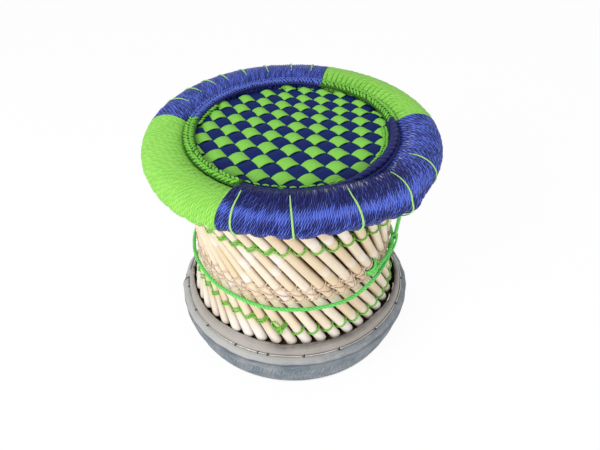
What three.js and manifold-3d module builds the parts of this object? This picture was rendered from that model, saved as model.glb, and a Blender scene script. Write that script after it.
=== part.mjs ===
// A round mudda stool: a waisted cage of crossed reeds, bound with twine and thread, that stands on a
// grass ring shod with a cut tyre and carries a cord-wrapped rim with a woven seat.
// Millimetres, +Z up. The origin is on the stool's axis, on the floor. The front faces -Y.
// An azimuth is measured from the front (-Y) towards +X.
import * as THREE from "three";
import { mergeVertices } from "three/addons/utils/BufferGeometryUtils.js";
import Module from "manifold-3d";

const wasm = await Module();
wasm.setup();

const TURN = 2 * Math.PI;
const degrees = THREE.MathUtils.degToRad;

// Whole stool
const overallHeight = 339;
const restingGap = 0.3; // between pieces that lie against each other
const ringSteps = 48; // facets round the stool

// Rim: a grass ring, wound with cord and edged inside with a plait
const rimWidth = 61; // across the wound ring, plan view
const rimHeight = 45;
const rimOverhang = 10.4; // its centre line, outside that of the reeds' tops
const wrapThickness = 3.5;
const plaitWidth = 18;
const plaitHeight = 8.4;
const plaitReach = 11.5; // how far the plait stands inside the ring
const plaitDrop = 6.5; // plait centre below the rim's top
const rimSides = 8; // faces of the core and of the bore that it fills
const coreSteps = 32;
// Azimuth where each colour of winding starts
const greenLeftStart = degrees(-100.2);
const blueFrontStart = degrees(-26.5);
const greenBackStart = degrees(98.8);
const blueBackStart = degrees(161.8);

// Seat: cord strips in plain weave, held in the rim
const seatDepth = 11; // highest part of the weave below the rim's top
const stripPitch = 20.9;
const seatThickness = 4.4; // where two strips meet at a cell's corner
const stripArch = 1.6; // how far a strip bows over the one it crosses
const seatTurn = degrees(33.7); // green strips, from +X towards +Y
const weaveOffsetShares = [-0.113, 0.065]; // of a pitch, along the green strips and across them
const seatBorderWidth = 12;
const seatBorderHeight = 7.4;

// Reed cage: straight reeds on two hyperboloids, slanting opposite ways
const reedCount = 44;
const waistRadius = 136; // to the outer reeds' centre lines
const waistHeight = 165;
const reedSlant = degrees(32.6); // from upright, at the waist
const reedGap = 0.9; // between neighbouring outer reeds at the waist
const innerReedDiameter = 12.6;
const layerGap = 0.9; // between the outer and the inner reeds
const firstReed = 0; // azimuth of outer reed 1 at the waist
const thinnestReedShare = 0.93;
const topShare = 0.95; // a reed's radius at the top, of that at its foot
const reedSides = 8;
const innerReedSides = 6;

// Grass ring at the foot, with the tyre round it
const baseRingRise = 7.5; // above the tread
const baseRingWidth = 37;
const baseRingCorner = 6;
const baseRingEdge = 1.5;

// Tyre shoe: a length of scooter tyre, its lower wall turned in under the stool
const treadHeight = 62;
const treadFootEase = 6.2; // outer face at the floor, beyond the grass ring
const treadFlare = 14; // from the foot out to the widest place
const treadShoulder = 8; // from the widest place up to the stitched edge
const treadThickness = 8;
const treadLip = 3.4; // thickness at the stitched top edge
const treadCorner = 2.5;
const soleThickness = 5;
const soleWidth = 35;

// Sidewall band, lapped inside the tread and drawn in to the reeds
const bandThickness = 3;
const bandHeight = 17; // above the tread
const bandEase = 2.4; // between its inner edge and the reeds
const seamEase = 6.2; // between the grass ring and the band where it leaves the tread
const bandLap = 24; // hidden overlap with the tread
const seamWireDiameter = 2.2;

// Lashings and rope
const threadDiameter = 2.5;
const threadSides = 4;
const neighbourPoints = 4; // along a cord, left out when its gap to itself is measured
const threadDip = 1.5; // how far a lashing sinks between two reeds
const upperLashingDrop = 46; // below the rim
// How far the lower thread lies above the grass ring: [reed that it crosses, height]. It climbs round
// the left and drops again at its knots.
const lowerLashingRises = [
  [0, 22.5], [10, 21.5], [22, 26], [33, 41], [35, 46], [37, 42], [40, 39], [42, 24], [44, 22.5],
];
const lowerRowDrop = 13; // the twine's two rows, from the waist
const upperRowRise = 6;
const ropeDiameter = 5.5;
const ropeSides = 6;
const ropeSteps = 72;
const tieWidth = 16;
const tieThickness = 3;
const tieRise = 1; // above the waist
const tieReed = 6; // counted on from the first reed at the front

// Sizes worked out from those above
const rimCentreHeight = overallHeight - rimHeight / 2;
const rimUndersideHeight = overallHeight - rimHeight;
const reedPitch = (TURN * waistRadius) / reedCount;
const reedDiameter = reedPitch * Math.cos(reedSlant) - reedGap;
const innerWaistRadius = waistRadius - (reedDiameter + innerReedDiameter) / 2 - layerGap;
const slope = Math.tan(reedSlant);
const cageRadius = (height) => Math.hypot(waistRadius, slope * (height - waistHeight));
const rimCentreRadius = cageRadius(rimUndersideHeight) + rimOverhang;
const rimDiameter = 2 * rimCentreRadius + rimWidth;
const baseRingTop = treadHeight + baseRingRise;
const baseRingOuterRadius = cageRadius(baseRingTop) + reedDiameter / 2;
const baseRingInnerRadius = baseRingOuterRadius - baseRingWidth;
const treadFootRadius = baseRingOuterRadius + treadFootEase;
const treadWidestRadius = treadFootRadius + treadFlare;
const treadWidestHeight = treadHeight - treadShoulder;
const soleInnerRadius = treadFootRadius - soleWidth;
const bandTop = treadHeight + bandHeight;
const bandTopRadius = cageRadius(bandTop) + reedDiameter / 2 + bandEase;
const seamRadius = baseRingOuterRadius + seamEase;

const colours = {
  green: 0x7dd241,
  blue: 0x2832a0,
  navy: 0x201e78,
  reed: 0xebd7b9,
  innerReed: 0x9c7b52,
  grass: 0xa88a5a,
  twine: 0xcda087,
  rope: 0x64dc5a,
  rubber: 0x6e7d87,
  band: 0x96908a,
  wire: 0xd8d8d2,
};

const stool = new THREE.Group();

function addPiece(name, geometry, colour, roughness = 0.8, metalness = 0) {
  const material = new THREE.MeshStandardMaterial({ color: colour, roughness, metalness });
  const mesh = new THREE.Mesh(geometry, material);
  mesh.name = name;
  stool.add(mesh);
}

// A point at an azimuth, a distance from the axis and a height.
function polar(azimuth, radius, height) {
  return new THREE.Vector3(radius * Math.sin(azimuth), -radius * Math.cos(azimuth), height);
}

// A closed profile of [radius, height] points, turned a full turn round the stool's axis.
function turned(profile, steps = ringSteps) {
  const points = [...profile, profile[0]].map(([r, z]) => new THREE.Vector2(r, z));
  return new THREE.LatheGeometry(points, steps).rotateX(Math.PI / 2);
}

// Triangles given as corner points, as a geometry.
function fromTriangles(corners) {
  const geometry = new THREE.BufferGeometry().setFromPoints(corners);
  return mergeVertices(geometry);
}

function toSolid(geometry) {
  const bare = geometry.index ? geometry.toNonIndexed() : geometry.clone();
  const plain = new THREE.BufferGeometry().setAttribute("position", bare.getAttribute("position"));
  const merged = mergeVertices(plain, 1e-4);
  const triVerts = new Uint32Array(merged.index.array);
  const vertProperties = merged.attributes.position.array;
  return new wasm.Manifold(new wasm.Mesh({ numProp: 3, vertProperties, triVerts }));
}

function toGeometry(solid) {
  const mesh = solid.getMesh();
  const geometry = new THREE.BufferGeometry();
  geometry.setAttribute("position", new THREE.BufferAttribute(mesh.vertProperties, 3));
  geometry.setIndex(new THREE.BufferAttribute(mesh.triVerts, 1));
  return geometry;
}

// Rim

function rimEllipse(inset, angle) {
  const across = rimWidth / 2 - inset;
  const up = rimHeight / 2 - inset;
  return [rimCentreRadius + across * Math.cos(angle), rimCentreHeight + up * Math.sin(angle)];
}

// The ring's own ellipse from the plait round to the plait again, then the plait's outline.
function wrapOutline() {
  const outline = [];
  const plaitRadius = rimCentreRadius - (rimWidth - plaitWidth) / 2 - plaitReach;
  const plaitZ = overallHeight - plaitDrop;
  for (const angle of [134, 90, 45, 0, -45, -90, -112.5, -135, -180, -211]) {
    outline.push(rimEllipse(0, degrees(angle)));
  }
  for (const angle of [-75, -140, 180, 140, 75].map(degrees)) {
    const across = (plaitWidth / 2) * Math.cos(angle);
    const up = (plaitHeight / 2) * Math.sin(angle);
    outline.push([plaitRadius + across, plaitZ + up]);
  }
  return outline;
}

function rimBore(inset) {
  const bore = [];
  for (let i = 0; i < rimSides; i++) {
    bore.push(rimEllipse(inset, (TURN * (i + 0.5)) / rimSides));
  }
  return bore;
}

class RimArc extends THREE.Curve {
  constructor(from, to) {
    super();
    this.from = from;
    this.to = to;
  }
  getPoint(t, target = new THREE.Vector3()) {
    return target.copy(polar(this.from + (this.to - this.from) * t, rimCentreRadius, rimCentreHeight));
  }
}

// One colour's length of winding: a tube round the core, with its part of the plait.
function rimWrap(from, to) {
  const joint = restingGap / 2 / rimCentreRadius;
  const arc = new RimArc(from + joint, to - joint);
  const flat = ([r, z]) => new THREE.Vector2(rimCentreHeight - z, rimCentreRadius - r);
  const section = new THREE.Shape(wrapOutline().map(flat));
  section.holes.push(new THREE.Path(rimBore(wrapThickness).map(flat)));
  const steps = Math.ceil(((to - from) / TURN) * ringSteps);
  return new THREE.ExtrudeGeometry(section, { extrudePath: arc, steps, curveSegments: 1 });
}

// How far the middle of a facet lies inside the circle that its ends are on.
function facetSag(radius, steps) {
  return radius * (1 - Math.cos(Math.PI / steps));
}

function rimCore() {
  const inset = wrapThickness + restingGap + facetSag(rimDiameter / 2, coreSteps);
  return turned(rimBore(inset), coreSteps);
}

addPiece("rim_core", rimCore(), colours.grass, 0.95);
addPiece("rim_wrap_green_left", rimWrap(greenLeftStart, blueFrontStart), colours.green, 0.55);
addPiece("rim_wrap_blue_front", rimWrap(blueFrontStart, greenBackStart), colours.blue, 0.55);
addPiece("rim_wrap_green_back", rimWrap(greenBackStart, blueBackStart), colours.green, 0.55);
addPiece("rim_wrap_blue_back", rimWrap(blueBackStart, greenLeftStart + TURN), colours.blue, 0.55);

// Seat

const seatTop = overallHeight - seatDepth;
const seatMiddle = seatTop - stripArch - seatThickness / 2;
const rimInnerRadius = rimCentreRadius - rimWidth / 2;
const seatRadius = rimInnerRadius - facetSag(rimInnerRadius, ringSteps) - restingGap;

// A point of the weave, by its place in cells along and across the green strips.
function weavePoint(along, across, z) {
  const x = (along + weaveOffsetShares[0]) * stripPitch;
  const y = (across + weaveOffsetShares[1]) * stripPitch;
  return new THREE.Vector3(x, y, z);
}

// One face of a plain weave: each cell's strip bows up between its two ends, and its sides are upright
// slivers over the straight ends of the cells beside it.
function weaveFace(halfCells, facing) {
  const corners = [];
  const low = seatThickness / 2;
  const high = low + stripArch;
  const at = (u, v, z) => weavePoint(u, v, facing * z);
  const quad = (a, b, c, d) => corners.push(a, b, c, a, c, d);
  for (let i = -halfCells; i < halfCells; i++) {
    for (let j = -halfCells; j < halfCells; j++) {
      const alongU = (i + j) % 2 === 0 ? facing > 0 : facing < 0;
      const [a, b, c, d] = [at(i, j, low), at(i + 1, j, low), at(i + 1, j + 1, low), at(i, j + 1, low)];
      const first = alongU ? at(i + 0.5, j, high) : at(i + 1, j + 0.5, high);
      const last = alongU ? at(i + 0.5, j + 1, high) : at(i, j + 0.5, high);
      if (alongU) {
        quad(a, first, last, d);
        quad(first, b, c, last);
        corners.push(a, b, first, d, last, c);
      } else {
        quad(a, b, first, last);
        quad(last, first, c, d);
        corners.push(b, c, first, a, last, d);
      }
    }
  }
  return facing > 0 ? corners : corners.reverse();
}

// The four straight edges of the woven square.
function weaveEdges(halfCells) {
  const corners = [];
  const side = 2 * halfCells;
  const low = seatThickness / 2;
  let [u, v] = [-halfCells, -halfCells];
  for (const [du, dv] of [[1, 0], [0, 1], [-1, 0], [0, -1]]) {
    for (let n = 0; n < side; n++) {
      const [a, b] = [weavePoint(u, v, -low), weavePoint(u + du, v + dv, -low)];
      const [c, d] = [weavePoint(u + du, v + dv, low), weavePoint(u, v, low)];
      corners.push(a, b, c, a, c, d);
      [u, v] = [u + du, v + dv];
    }
  }
  return corners;
}

function seatWeave() {
  const halfCells = Math.ceil(seatRadius / stripPitch) + 1;
  const faces = [...weaveFace(halfCells, 1), ...weaveFace(halfCells, -1), ...weaveEdges(halfCells)];
  const square = fromTriangles(faces).rotateZ(seatTurn).translate(0, 0, seatMiddle);
  const cutRadius = seatRadius - seatBorderWidth / 2;
  const cutHeight = seatThickness + 4 * stripArch;
  const cutter = new THREE.CylinderGeometry(cutRadius, cutRadius, cutHeight, ringSteps);
  cutter.rotateX(Math.PI / 2).translate(0, 0, seatMiddle);
  const borderTop = seatTop - restingGap;
  const border = turned([
    [seatRadius, borderTop - seatBorderHeight],
    [seatRadius, borderTop],
    [seatRadius - seatBorderWidth, borderTop],
    [seatRadius - seatBorderWidth, borderTop - seatBorderHeight],
  ]);
  return toGeometry(toSolid(square).intersect(toSolid(cutter)).add(toSolid(border)));
}

addPiece("seat_weave", seatWeave(), colours.navy, 0.6);

// Reeds

// Lowest point of the wound ring over a given radius.
function rimUnderside(radius) {
  const across = (radius - rimCentreRadius) / (rimWidth / 2);
  return rimCentreHeight - (rimHeight / 2) * Math.sqrt(Math.max(0, 1 - across * across));
}

// A rounded reed end: [share of the radius, share of the radius back from the tip].
const tipShares = [[0, 0], [0.62, 0.1], [1, 0.55]];
const tipReach = ([r, h]) => r * Math.sin(reedSlant) - h * Math.cos(reedSlant);
const tipOverhang = Math.max(...tipShares.map(tipReach));
const tipRoom = (tipOverhang * reedDiameter) / 2 + restingGap;
const reedFoot = baseRingTop + tipRoom;
const reedTop = rimUnderside(cageRadius(rimUndersideHeight)) - tipRoom;

// A reed's straight line on its hyperboloid: outer reeds lean one way (1), inner ones the other (-1).
function reedLine(azimuth, radius, rise, lean) {
  const waist = polar(azimuth, radius, waistHeight);
  const around = new THREE.Vector3(Math.cos(azimuth), Math.sin(azimuth), 0);
  const run = new THREE.Vector3(0, 0, 1).addScaledVector(around, -lean * rise);
  const at = (height) => waist.clone().addScaledVector(run, height - waistHeight);
  return { at, axis: run.clone().normalize() };
}

function outerReedLine(k) {
  return reedLine(firstReed + (TURN * k) / reedCount, waistRadius, slope, 1);
}

// Turns a shape made along +Y to run along an axis from a foot point.
function aligned(geometry, foot, axis) {
  const turn = new THREE.Quaternion().setFromUnitVectors(new THREE.Vector3(0, 1, 0), axis);
  return geometry.applyQuaternion(turn).translate(foot.x, foot.y, foot.z);
}

// Away from the stool's axis, square to a reed.
function outward(centre, axis) {
  const out = new THREE.Vector3(centre.x, centre.y, 0);
  return out.addScaledVector(axis, -out.dot(axis)).normalize();
}

// Reeds are grown, not turned: each has its own thickness, and thins a little towards the top.
function reedRadius(k) {
  const vary = Math.abs(Math.cos(reedCount * k));
  const share = thinnestReedShare + (1 - thinnestReedShare) * vary;
  return (reedDiameter / 2) * share;
}

function outerReed(k) {
  const line = outerReedLine(k);
  const foot = line.at(reedFoot);
  const length = foot.distanceTo(line.at(reedTop));
  const radius = reedRadius(k);
  const profile = tipShares.map(([r, h]) => new THREE.Vector2(r * radius, h * radius));
  for (const [r, h] of [...tipShares].reverse()) {
    profile.push(new THREE.Vector2(r * radius * topShare, length - h * radius * topShare));
  }
  return aligned(new THREE.LatheGeometry(profile, reedSides), foot, line.axis);
}

for (let k = 0; k < reedCount; k++) {
  addPiece("outer_reed_" + String(k + 1).padStart(2, "0"), outerReed(k), colours.reed, 0.65);
}

// The inner layer leans the other way, just clear of the outer one from waist to top.
function innerRise() {
  const height = reedTop - waistHeight;
  const tilt = Math.cos(Math.atan((slope * slope * height) / cageRadius(reedTop)));
  const radius = cageRadius(reedTop) - (waistRadius - innerWaistRadius) / tilt;
  return Math.sqrt(radius * radius - innerWaistRadius * innerWaistRadius) / height;
}

function baseRing() {
  const bottom = soleThickness + restingGap;
  const corner = baseRingCorner;
  return turned([
    [baseRingInnerRadius + corner, bottom],
    [baseRingOuterRadius - corner, bottom],
    [baseRingOuterRadius, bottom + corner],
    [baseRingOuterRadius, baseRingTop - baseRingEdge],
    [baseRingOuterRadius - baseRingEdge, baseRingTop],
    [baseRingInnerRadius + corner, baseRingTop],
    [baseRingInnerRadius, baseRingTop - corner],
    [baseRingInnerRadius, bottom + corner],
  ]);
}

function baseRingWithInnerReeds() {
  let solid = toSolid(baseRing());
  const rise = innerRise();
  const sunk = innerReedDiameter / 2;
  const topRadius = Math.hypot(innerWaistRadius, rise * (reedTop - waistHeight));
  const top = rimUnderside(topRadius) - restingGap - innerReedDiameter / 2;
  for (let k = 0; k < reedCount; k++) {
    const line = reedLine((TURN * (k + 0.5)) / reedCount, innerWaistRadius, rise, -1);
    const foot = line.at(baseRingTop - sunk);
    const length = foot.distanceTo(line.at(top));
    const radius = innerReedDiameter / 2;
    const rod = new THREE.CylinderGeometry(radius, radius, length, innerReedSides);
    solid = solid.add(toSolid(aligned(rod.translate(0, length / 2, 0), foot, line.axis)));
  }
  return toGeometry(solid);
}

addPiece("base_ring_with_inner_reeds", baseRingWithInnerReeds(), colours.innerReed, 0.9);

// Tyre shoe

// The tread leans out from the floor to its widest place, along a parabola.
function treadRadius(height) {
  const share = 1 - Math.min(1, height / treadWidestHeight);
  return treadWidestRadius - (treadWidestRadius - treadFootRadius) * share * share;
}

function tyreTread() {
  const lipRadius = seamRadius + bandThickness + restingGap;
  const outer = [];
  const inner = [];
  const heightShares = [0.12, 0.45, 0.75, 1];
  for (const share of heightShares) {
    const z = share * treadWidestHeight;
    outer.push([treadRadius(z), z]);
    inner.push([treadRadius(z) - treadThickness, z]);
  }
  return turned([
    [soleInnerRadius, 0],
    [treadFootRadius - treadCorner, 0],
    ...outer,
    [treadWidestRadius - treadLip, treadHeight - treadLip / 2],
    [treadWidestRadius - 2 * treadLip, treadHeight],
    [lipRadius, treadHeight],
    [lipRadius, treadHeight - treadLip],
    ...inner.reverse(),
    [treadFootRadius - treadThickness, soleThickness],
    [soleInnerRadius, soleThickness],
  ]);
}

function bandInnerRadius(height) {
  const share = (height - treadHeight) / (bandTop - treadHeight);
  return seamRadius + (bandTopRadius - seamRadius) * share;
}

function sidewallBand() {
  const low = treadHeight - bandLap;
  return turned([
    [seamRadius, low],
    [seamRadius + bandThickness, low],
    [seamRadius + bandThickness, treadHeight],
    [bandTopRadius + bandThickness, bandTop - bandThickness / 4],
    [bandTopRadius + bandThickness / 2, bandTop],
    [bandTopRadius, bandTop],
    [seamRadius, treadHeight],
  ]);
}

function seamWire() {
  const radius = seamWireDiameter / 2;
  const z = treadHeight + restingGap + radius;
  const centre = bandInnerRadius(treadHeight) + bandThickness + restingGap + radius;
  const profile = [];
  for (let i = 0; i < threadSides; i++) {
    const angle = (TURN * i) / threadSides;
    profile.push([centre + radius * Math.cos(angle), z + radius * Math.sin(angle)]);
  }
  return turned(profile);
}

addPiece("tyre_tread", tyreTread(), colours.rubber, 0.85);
addPiece("tyre_sidewall_band", sidewallBand(), colours.band, 0.8);
addPiece("tyre_seam_wire", seamWire(), colours.wire, 0.4, 0.6);

// Cords

// A cord along points that lie round the stool: each ring of the section faces the cord's run there,
// and one of its corners points away from the stool's axis.
function cordAlong(points, diameter, sides) {
  const radius = diameter / 2;
  const last = points.length - 1;
  const rings = points.map((point, i) => {
    const before = points[Math.max(0, i - 1)];
    const after = points[Math.min(last, i + 1)];
    const run = after.clone().sub(before).normalize();
    const out = outward(point, run);
    const side = run.clone().cross(out);
    return Array.from({ length: sides }, (_, s) => {
      const angle = (TURN * (s + 0.5)) / sides;
      const corner = point.clone().addScaledVector(out, radius * Math.cos(angle));
      return corner.addScaledVector(side, radius * Math.sin(angle));
    });
  });
  const corners = [];
  for (let i = 0; i < last; i++) {
    const [a, b] = [rings[i], rings[i + 1]];
    for (let s = 0; s < sides; s++) {
      const t = (s + 1) % sides;
      corners.push(a[s], a[t], b[t], a[s], b[t], b[s]);
    }
  }
  const [start, end] = [rings[0], rings[last]];
  for (let s = 1; s + 1 < sides; s++) {
    corners.push(start[0], start[s + 1], start[s], end[0], end[s], end[s + 1]);
  }
  return fromTriangles(corners);
}

// A value between listed ones: [place, value].
function between(stops, place) {
  const next = stops.findIndex(([stop]) => stop > place);
  const [from, low] = stops[next - 1];
  const [to, high] = stops[next];
  return low + ((high - low) * (place - from)) / (to - from);
}

// Where a lashing crosses reed k: square across the reed, sinking a little on each side. The height
// comes from the place, which is k on the reed itself and half a step more in the gap after it.
function lashedReed(k, heightAt) {
  const line = outerReedLine(k);
  const height = heightAt(k);
  const centre = line.at(height);
  const out = outward(centre, line.axis);
  const across = out.clone().cross(line.axis);
  const neighbour = outerReedLine(k + 1).at(height).sub(centre);
  const half = neighbour.dot(across) / 2;
  const lift = (reedDiameter + threadDiameter) / 2 + restingGap;
  const crest = centre.clone().addScaledVector(out, lift);
  const side = (way) => {
    const climb = heightAt(k + way / 2) - height;
    const beside = crest.clone().addScaledVector(across, way * half).addScaledVector(out, -threadDip);
    return beside.addScaledVector(line.axis, climb / line.axis.z);
  };
  return [side(-1), crest, side(1)];
}

// Least distance, face to face, between stretches of one cord that aren't neighbours along it.
function leastGap(points, diameter) {
  let least = Infinity;
  points.forEach((point, i) => {
    for (const other of points.slice(i + neighbourPoints)) {
      least = Math.min(least, point.distanceTo(other) - diameter);
    }
  });
  return least;
}

// One cord laid round the stool in rows, one above the other: it steps up to the next row after each
// round and stops short of its own start.
function lashing(name, ...rows) {
  const points = [];
  for (const heightAt of rows) {
    for (let k = 0; k < reedCount; k++) {
      points.push(...lashedReed(k, heightAt));
    }
  }
  points.pop();
  console.log(`${name}, least gap to itself: ${leastGap(points, threadDiameter).toFixed(1)} mm`);
  return cordAlong(points, threadDiameter, threadSides);
}

const lowerThreadAt = (place) => {
  return baseRingTop + between(lowerLashingRises, (place + reedCount) % reedCount);
};
const upperThreadAt = () => rimUndersideHeight - upperLashingDrop;
const twineRows = [() => waistHeight - lowerRowDrop, () => waistHeight + upperRowRise];
addPiece("upper_thread_lashing", lashing("upper thread", upperThreadAt), colours.green, 0.5);
addPiece("waist_twine_lashing", lashing("waist twine", ...twineRows), colours.twine, 0.9);
addPiece("lower_thread_lashing", lashing("lower thread", lowerThreadAt), colours.green, 0.5);

// Rope: it hangs from the rim on the right, curls into a hoop round the waist and ends beside itself.
// The tail's heights are shares of the way down from the rim to the waist, the hoop's are from the waist.
const ropeTail = [
  // [azimuth in degrees, share of the way down, distance out past the lashed reeds]
  [71, 0.04, 0], [71, 0.2, 0], [71.5, 0.37, 0], [72, 0.56, 2], [73, 0.71, 3], [74.5, 0.845, 3],
  [76.5, 0.96, 2],
];
const ropeHoop = [
  // [azimuth in degrees, height above the waist, distance out past the lashed reeds]
  [80.5, -7, 0], [88, -14, 0], [100, -18, 0], [120, -20, 0], [140, -20, 0], [160, -20, 0], [180, -20, 0],
  [200, -20, 0], [220, -20, 0], [240, -19, 0], [260, -18, 0], [280, -18, 0], [298, -17, 0], [314, -19, 0],
  [330, -20, 0], [345, -23, 0], [360, -23, 0], [375, -24, 0], [390, -25, 0], [403, -20, 0], [412, -16, 0],
  [421, -12, 0], [429, -10, 0], [435, -9, 0],
];

function ropePoint(azimuth, height, out) {
  const lashed = (reedDiameter + ropeDiameter) / 2 + restingGap + out;
  return polar(degrees(azimuth), cageRadius(height) + lashed + threadDiameter + restingGap, height);
}

function ropeRoute() {
  const wayDown = waistHeight - rimUndersideHeight;
  const tail = ropeTail.map(([azimuth, share, out]) => {
    return ropePoint(azimuth, rimUndersideHeight + share * wayDown, out);
  });
  const hoop = ropeHoop.map(([azimuth, rise, out]) => ropePoint(azimuth, waistHeight + rise, out));
  return [...tail, ...hoop];
}

function waistRope() {
  const route = new THREE.CatmullRomCurve3(ropeRoute(), false, "centripetal");
  const points = route.getSpacedPoints(ropeSteps);
  console.log(`waist rope, ${route.getLength().toFixed(0)} mm long`);
  console.log(`waist rope, least gap to itself: ${leastGap(points, ropeDiameter).toFixed(1)} mm`);
  return cordAlong(points, ropeDiameter, ropeSides);
}

addPiece("waist_rope", waistRope(), colours.rope, 0.5);

// The tie: turns of the same cord wound side by side over one reed and the twine on it. It follows the
// twine from the reed's outer line down towards the gap on each side.
function ropeTie() {
  const { at, axis } = outerReedLine(tieReed);
  const centre = at(waistHeight + tieRise);
  const half = (reedDiameter + reedGap) / 2;
  const crest = reedDiameter / 2 + threadDiameter + 2 * restingGap;
  const sideShares = [-1, -0.5, 0, 0.5, 1];
  const outline = [];
  for (const lift of [crest + tieThickness, crest]) {
    const arch = sideShares.map((share) => {
      return new THREE.Vector2(share * half, lift - threadDip * Math.abs(share));
    });
    outline.push(...(lift > crest ? arch : arch.reverse()));
  }
  const lengthwise = { depth: tieWidth, bevelEnabled: false };
  const saddle = new THREE.ExtrudeGeometry(new THREE.Shape(outline), lengthwise);
  saddle.translate(0, 0, -tieWidth / 2);
  const out = outward(centre, axis);
  const frame = new THREE.Matrix4().makeBasis(out.clone().cross(axis), out, axis);
  return saddle.applyMatrix4(frame.setPosition(centre));
}

addPiece("waist_rope_tie", ropeTie(), colours.rope, 0.5);

export default stool;
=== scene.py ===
"""A round mudda stool: a cord-wound rim with a woven seat, on a waisted cage of crossed reeds in a cut tyre.

Azimuths are in degrees from the front (-Y) towards +X. Sizes are in mm and become metres in surface().
A grid of points has rows that follow one another along a piece and columns that go round or across it.
"""
import math
import bpy
import numpy as np
from mathutils import Matrix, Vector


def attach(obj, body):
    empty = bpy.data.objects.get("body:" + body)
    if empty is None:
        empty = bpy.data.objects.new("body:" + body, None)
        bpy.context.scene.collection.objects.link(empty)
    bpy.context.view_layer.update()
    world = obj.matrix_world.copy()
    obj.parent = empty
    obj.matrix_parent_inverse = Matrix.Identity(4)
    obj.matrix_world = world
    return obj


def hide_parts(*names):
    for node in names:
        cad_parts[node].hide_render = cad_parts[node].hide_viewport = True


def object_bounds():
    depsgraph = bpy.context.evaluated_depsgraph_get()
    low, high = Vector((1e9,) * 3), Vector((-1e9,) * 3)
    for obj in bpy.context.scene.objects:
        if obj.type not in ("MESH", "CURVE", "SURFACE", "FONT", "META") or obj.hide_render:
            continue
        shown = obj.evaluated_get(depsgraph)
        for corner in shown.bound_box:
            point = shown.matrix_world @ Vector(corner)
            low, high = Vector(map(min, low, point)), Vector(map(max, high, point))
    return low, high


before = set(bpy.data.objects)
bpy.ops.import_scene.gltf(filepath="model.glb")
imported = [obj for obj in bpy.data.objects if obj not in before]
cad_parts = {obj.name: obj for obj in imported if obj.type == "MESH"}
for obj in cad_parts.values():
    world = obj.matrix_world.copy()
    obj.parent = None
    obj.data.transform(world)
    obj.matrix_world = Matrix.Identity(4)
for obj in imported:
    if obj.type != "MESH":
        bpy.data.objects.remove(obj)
cad_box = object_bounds()

MM = 0.001
TURN = 2 * np.pi
UP = np.array([0.0, 0.0, 1.0])
chance = np.random.default_rng(7)

# Reed cage
REEDS = 44
ALL_REEDS = np.arange(REEDS)
PITCH = 360 / REEDS
WAIST_RADIUS = 136.0
WAIST_HEIGHT = 165.0
SLOPE = math.tan(math.radians(32.6))
REED_RADIUS = 7.7
INNER_WAIST_RADIUS = 121.1
INNER_SLOPE = 0.6
INNER_REED_RADIUS = 6.1
# [mean radius, height of the middle, half the width, half the height] of the bound grass at the foot
GRASS_RING = 138.3, 37.4, 17.4, 31.0

# Rim
RIM_TOP = cad_box[1].z / MM
RIM_WIDE = 61.0
RIM_HIGH = 45.0
RIM_MIDDLE = RIM_TOP - RIM_HIGH / 2
RIM_CENTRE = 169.5
RIM_UNDERSIDE = RIM_TOP - RIM_HIGH
RIM_TURNS = 8 * REEDS
CORE_INSET = 7.6
PLAIT_RADIUS = 136.5
PLAIT_HEIGHT = 332.3
COLOUR_STARTS = {"green_left": -100.2, "blue_front": -26.5, "green_back": 98.8, "blue_back": 161.8}

# Seat
STRIP_PITCH = 20.9
THREAD_WIDTH = 2.8
SEAT_HEIGHT = 323.4
SEAT_EDGE = 131.0
# Constants of the bent lattice, as weave_place gives it
WEAVE_X = np.array([2.2, 29.3, 4.3, 0.16, -0.75, -0.12])
WEAVE_Y = np.array([-10.3, -5.9, 28.7, 0.50, -0.25, -0.54])

# Foot
TYRE_FOOT = 163.0
TYRE_WIDEST = 177.0
TYRE_WIDEST_HEIGHT = 54.0
TYRE_HEIGHT = 62.0
SHOULDER_GROOVE = 52.6
BAND_TOP = 79.0
BASE_RING_TOP = 69.5


# Shapes

def polar(azimuth, radius, height):
    """A point at an azimuth, a distance from the stool's axis and a height."""
    a = np.radians(azimuth)
    return np.stack(np.broadcast_arrays(radius * np.sin(a), -radius * np.cos(a), height), -1)


def unit(vectors):
    """Vectors of length one."""
    return vectors / np.linalg.norm(vectors, axis=-1, keepdims=True)


def angles(count):
    """The angles of a circle's corners."""
    return TURN * np.arange(count) / count


def smooth(low, high, x):
    """0 below low, 1 above high, and the curve 3t^2 - 2t^3 between them."""
    t = np.clip((x - low) / (high - low), 0, 1)
    return t * t * (3 - 2 * t)


def between(a, b, c, d, x):
    """1 from b to c, 0 below a and above d, and smooth slopes between them."""
    return smooth(a, b, x) * (1 - smooth(c, d, x))


def bell(x, centre, width):
    """exp(-((x - centre) / width)^2)."""
    return np.exp(-((x - centre) / width) ** 2)


def power(x, exponent):
    """|x|^exponent with x's sign. On a cosine and a sine it squares a circle off."""
    return np.sign(x) * np.abs(x) ** exponent


def ripple(x, waves, size):
    """A wandering line: a sum of sines of the given frequencies, each with its own phase."""
    phases = chance.uniform(0, TURN, len(waves))
    return size * sum(np.sin(w * x + p) for w, p in zip(waves, phases)) / math.sqrt(len(waves))


def lengths_along(points):
    """The distance of each point of a line from its first one, along the line."""
    return np.concatenate([[0], np.cumsum(np.linalg.norm(np.diff(points, axis=0), axis=1))])


def tube(path, radius, sides, toward):
    """Circles carried along paths: centre + radius (cos a * side + sin a * other), where side is the
    part of toward that is square to the path, and other is square to both."""
    run = unit(np.gradient(path, axis=-2))
    side = unit(toward - np.sum(toward * run, -1, keepdims=True) * run)
    other = np.cross(run, side)
    a = angles(sides)[:, None]
    circle = np.cos(a) * side[..., None, :] + np.sin(a) * other[..., None, :]
    return path[..., None, :] + np.asarray(radius)[..., None] * circle


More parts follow.
